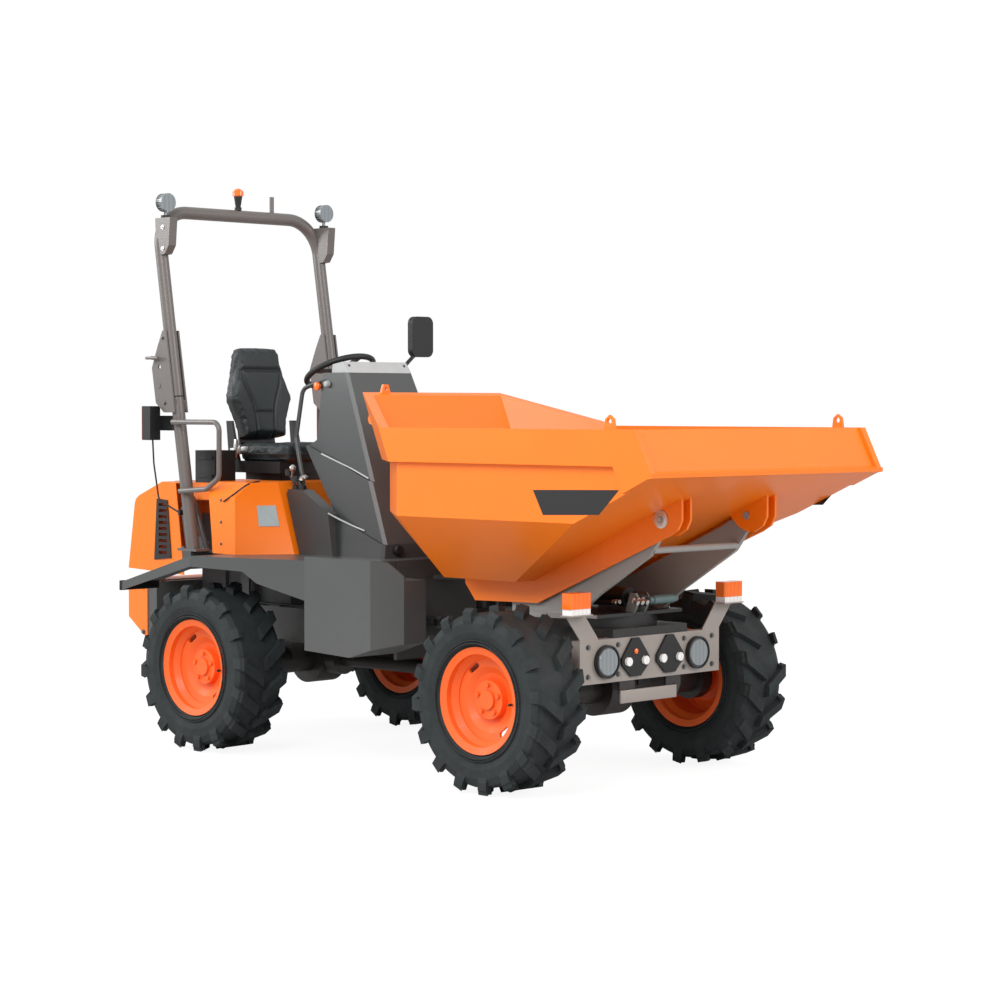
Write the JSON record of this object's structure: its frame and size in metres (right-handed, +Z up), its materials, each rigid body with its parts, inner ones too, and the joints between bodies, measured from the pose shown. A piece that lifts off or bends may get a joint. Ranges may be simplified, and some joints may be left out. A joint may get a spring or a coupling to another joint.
{
  "type": "articulated swivel-tip site dumper",
  "caption": "Articulated site dumper with a swivelling, forward-tipping skip ahead of an open driver's seat, leg shield, folding hoop and rear engine cover.",
  "frame": {"origin": "on the ground, on the centre plane, at the middle of the machine's length, which is 28 mm behind the point midway between the two axles", "axes": "+X forward, towards the skip; +Y to the machine's left; +Z up"},
  "size_m": [3.698, 1.529, 2.6154],
  "materials": {
    "orange_paint": "gloss paint",
    "rim_paint": "gloss paint",
    "grey_paint": "satin paint",
    "hoop_paint": "satin paint",
    "black_paint": "satin paint",
    "cast_iron": "painted casting",
    "seat_cover": "black vinyl",
    "black_plastic": "moulded",
    "light_plastic": "moulded",
    "amber_plastic": "amber lens",
    "lamp_glass": "clear lens",
    "chrome": "hard chrome",
    "tyre": "rubber"
  },
  "bodies": {
    "rear_chassis": {"rear_frame": "grey_paint", "rear_axle": "black_paint", "engine_block": "cast_iron", "guards": "grey_paint", "tanks": "grey_paint", "seat_plinth": "orange_paint", "seat_base": "black_paint", "seat_cushion": "seat_cover", "seat_back": "seat_cover", "console": "grey_paint", "dash_cowl": "light_plastic", "steering_wheel": "black_plastic", "lower_posts": "hoop_paint", "grab_rails": "hoop_paint", "tail_lamps": "black_plastic", "mirror_unit": "black_plastic", "counterweight": "orange_paint", "air_cleaner": "black_plastic", "control_levers": "black_plastic"},
    "hoop_top": {"hoop": "hoop_paint", "work_lamps": "black_plastic", "beacon": "amber_plastic"},
    "bonnet": {"bonnet": "orange_paint", "bonnet_grilles": "black_plastic"},
    "front_chassis": {"front_frame": "grey_paint", "front_axle": "black_paint", "lamp_bar": "hoop_paint", "headlamps": "lamp_glass", "indicators": "amber_plastic", "trailer_sockets": "black_plastic"},
    "swivel": {"swivel_frame": "grey_paint"},
    "skip": {"skip_body": "orange_paint", "skip_rails": "orange_paint"},
    "tip_cylinder_barrel": {"tip_barrel": "black_paint"},
    "tip_cylinder_sleeve": {"tip_sleeve": "chrome"},
    "tip_cylinder_rod": {"tip_rod": "chrome"},
    "steering_cylinder_barrel": {"steer_barrel": "black_paint"},
    "steering_cylinder_rod": {"steer_rod": "chrome"},
    "front_right_wheel": {"front_right_tyre": "tyre", "front_right_rim": "rim_paint"},
    "front_left_wheel": {"front_left_tyre": "tyre", "front_left_rim": "rim_paint"},
    "rear_right_wheel": {"rear_right_tyre": "tyre", "rear_right_rim": "rim_paint"},
    "rear_left_wheel": {"rear_left_tyre": "tyre", "rear_left_rim": "rim_paint"}
  },
  "joints": [
    {"name": "steer", "type": "hinge", "parent": "rear_chassis", "child": "front_chassis", "pos_m": [0.248, 0, 0.645], "axis": [0, 0, 1], "range_deg": [-33, 33]},
    {"name": "skip_swivel", "type": "hinge", "parent": "front_chassis", "child": "swivel", "pos_m": [0.843, 0, 0.69], "axis": [0, 0, 1], "range_deg": [-90, 90]},
    {"name": "skip_tip", "type": "hinge", "parent": "swivel", "child": "skip", "pos_m": [1.523, 0, 1.112], "axis": [0, 1, 0], "range_deg": [0, 75]},
    {"name": "tip_cylinder_swing", "type": "hinge", "parent": "swivel", "child": "tip_cylinder_barrel", "pos_m": [1.143, 0, 0.76], "axis": [0, 1, 0], "range_deg": [0, 79.3]},
    {"name": "tip_sleeve_slide", "type": "slide", "parent": "tip_cylinder_barrel", "child": "tip_cylinder_sleeve", "axis": [-0.9982, 0, 0.0594], "range_m": [0, 0.316]},
    {"name": "tip_rod_slide", "type": "slide", "parent": "tip_cylinder_barrel", "child": "tip_cylinder_rod", "axis": [-0.9982, 0, 0.0594], "range_m": [0, 0.63]},
    {"name": "steering_cylinder_swing", "type": "hinge", "parent": "rear_chassis", "child": "steering_cylinder_barrel", "pos_m": [0.108, -0.16, 0.612], "axis": [0, 0, 1], "range_deg": [-23.6, 23.6]},
    {"name": "steering_rod_slide", "type": "slide", "parent": "steering_cylinder_barrel", "child": "steering_cylinder_rod", "axis": [0.9991, 0.0425, 0], "range_m": [-0.088, 0.088]},
    {"name": "hoop_fold", "type": "hinge", "parent": "rear_chassis", "child": "hoop_top", "pos_m": [-1.409, 0, 1.655], "axis": [0, -1, 0], "range_deg": [0, 120]},
    {"name": "bonnet_open", "type": "hinge", "parent": "rear_chassis", "child": "bonnet", "pos_m": [-1.772, 0, 0.745], "axis": [0, 1, 0], "range_deg": [-60, 0]},
    {"name": "front_right_wheel_spin", "type": "hinge", "parent": "front_chassis", "child": "front_right_wheel", "pos_m": [0.943, -0.6325, 0.38], "axis": [0, 1, 0], "continuous": true},
    {"name": "front_left_wheel_spin", "type": "hinge", "parent": "front_chassis", "child": "front_left_wheel", "pos_m": [0.943, 0.6325, 0.38], "axis": [0, 1, 0], "continuous": true},
    {"name": "rear_right_wheel_spin", "type": "hinge", "parent": "rear_chassis", "child": "rear_right_wheel", "pos_m": [-0.887, -0.6325, 0.38], "axis": [0, 1, 0], "continuous": true},
    {"name": "rear_left_wheel_spin", "type": "hinge", "parent": "rear_chassis", "child": "rear_left_wheel", "pos_m": [-0.887, 0.6325, 0.38], "axis": [0, 1, 0], "continuous": true}
  ],
  "couplings": [
    {"joint": "tip_cylinder_swing", "follows": "skip_tip", "ratio": 1.0503},
    {"joint": "tip_sleeve_slide", "follows": "skip_tip", "m_per_rad": 0.2403},
    {"joint": "tip_rod_slide", "follows": "skip_tip", "m_per_rad": 0.4806},
    {"joint": "steering_cylinder_swing", "follows": "steer", "ratio": 0.7002},
    {"joint": "steering_rod_slide", "follows": "steer", "m_per_rad": 0.1508}
  ]
}
